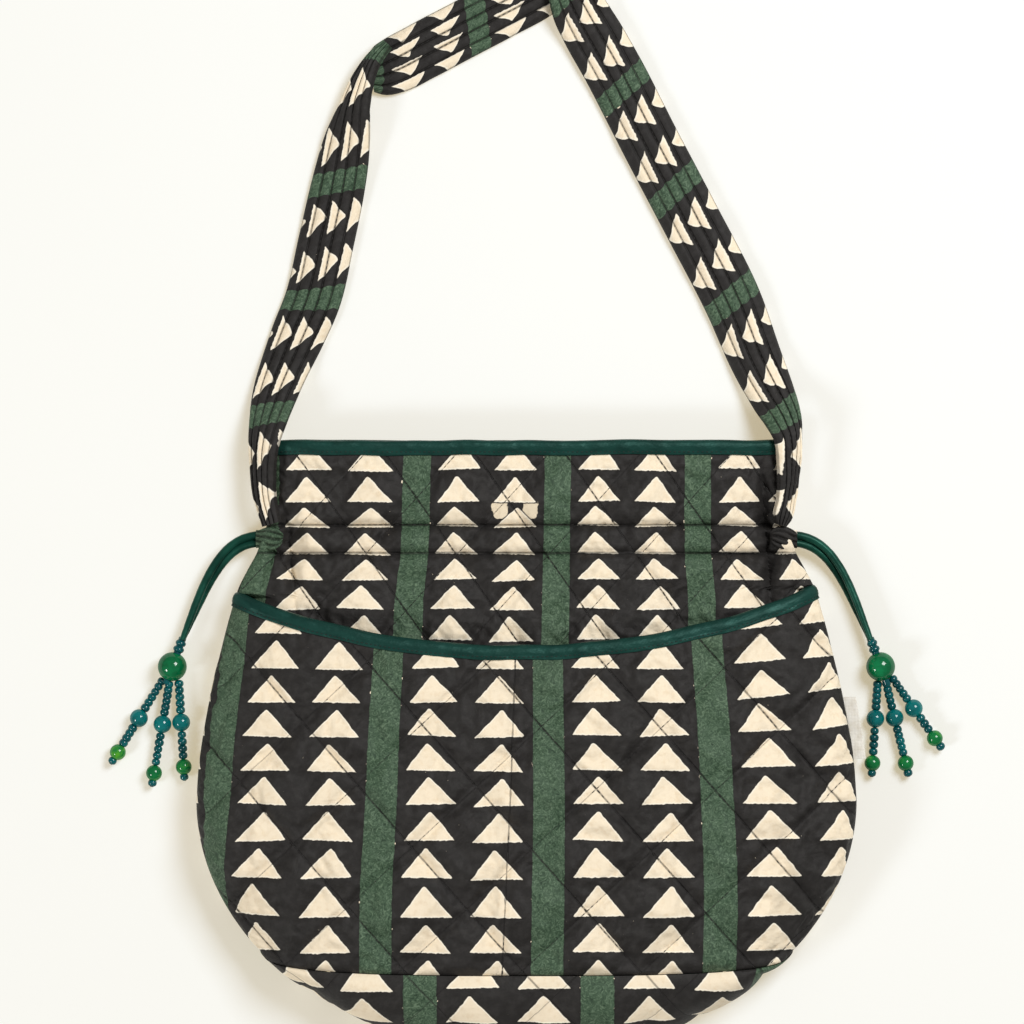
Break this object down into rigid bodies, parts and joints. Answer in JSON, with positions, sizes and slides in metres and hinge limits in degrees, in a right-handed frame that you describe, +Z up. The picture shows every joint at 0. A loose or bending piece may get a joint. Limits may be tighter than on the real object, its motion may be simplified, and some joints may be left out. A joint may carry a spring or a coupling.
{
  "type": "potli bag",
  "caption": "Soft quilted drawstring shoulder pouch lying on its back, with a slip pocket, bound edges, a padded strap and beaded cord ends.",
  "frame": {"origin": "on the surface that the bag lies on, under the middle of its flat back", "axes": "+X to the right of the front, +Y from the base to the strap, +Z up out of the front"},
  "size_m": [0.4202, 0.5496, 0.0485],
  "materials": {
    "quilted_print": "block-printed quilted cotton, matte",
    "satin_binding": "folded satin tape, soft sheen",
    "satin_cord": "satin tube cord, soft sheen",
    "deep_green_bead": "polished",
    "teal_bead": "polished",
    "leaf_green_bead": "polished, lime tint",
    "label_tape": "woven tape, matte"
  },
  "bodies": {
    "root": {"front_panel": "quilted_print", "back_panel": "quilted_print", "base_gusset": "quilted_print", "pocket_panel": "quilted_print", "shoulder_strap": "quilted_print", "mouth_binding": "satin_binding", "pocket_binding": "satin_binding", "side_label": "label_tape", "drawcord_left_outer": "satin_cord", "drawcord_left_inner": "satin_cord", "drawcord_right_outer": "satin_cord", "drawcord_right_inner": "satin_cord", "collar_left": "teal_bead", "large_bead_left": "deep_green_bead", "collar_right": "teal_bead", "large_bead_right": "deep_green_bead", "bead_string_left_1": "teal_bead", "bead_string_left_2": "teal_bead", "bead_string_left_3": "teal_bead", "bead_string_right_1": "teal_bead", "bead_string_right_2": "teal_bead", "bead_string_right_3": "teal_bead", "teal_bead_left_1": "teal_bead", "green_bead_left_1": "leaf_green_bead", "teal_bead_left_2": "teal_bead", "green_bead_left_2": "leaf_green_bead", "teal_bead_left_3": "teal_bead", "green_bead_left_3": "leaf_green_bead", "teal_bead_right_1": "teal_bead", "green_bead_right_1": "leaf_green_bead", "teal_bead_right_2": "teal_bead", "green_bead_right_2": "leaf_green_bead", "teal_bead_right_3": "teal_bead", "green_bead_right_3": "leaf_green_bead"}
  },
  "joints": []
}
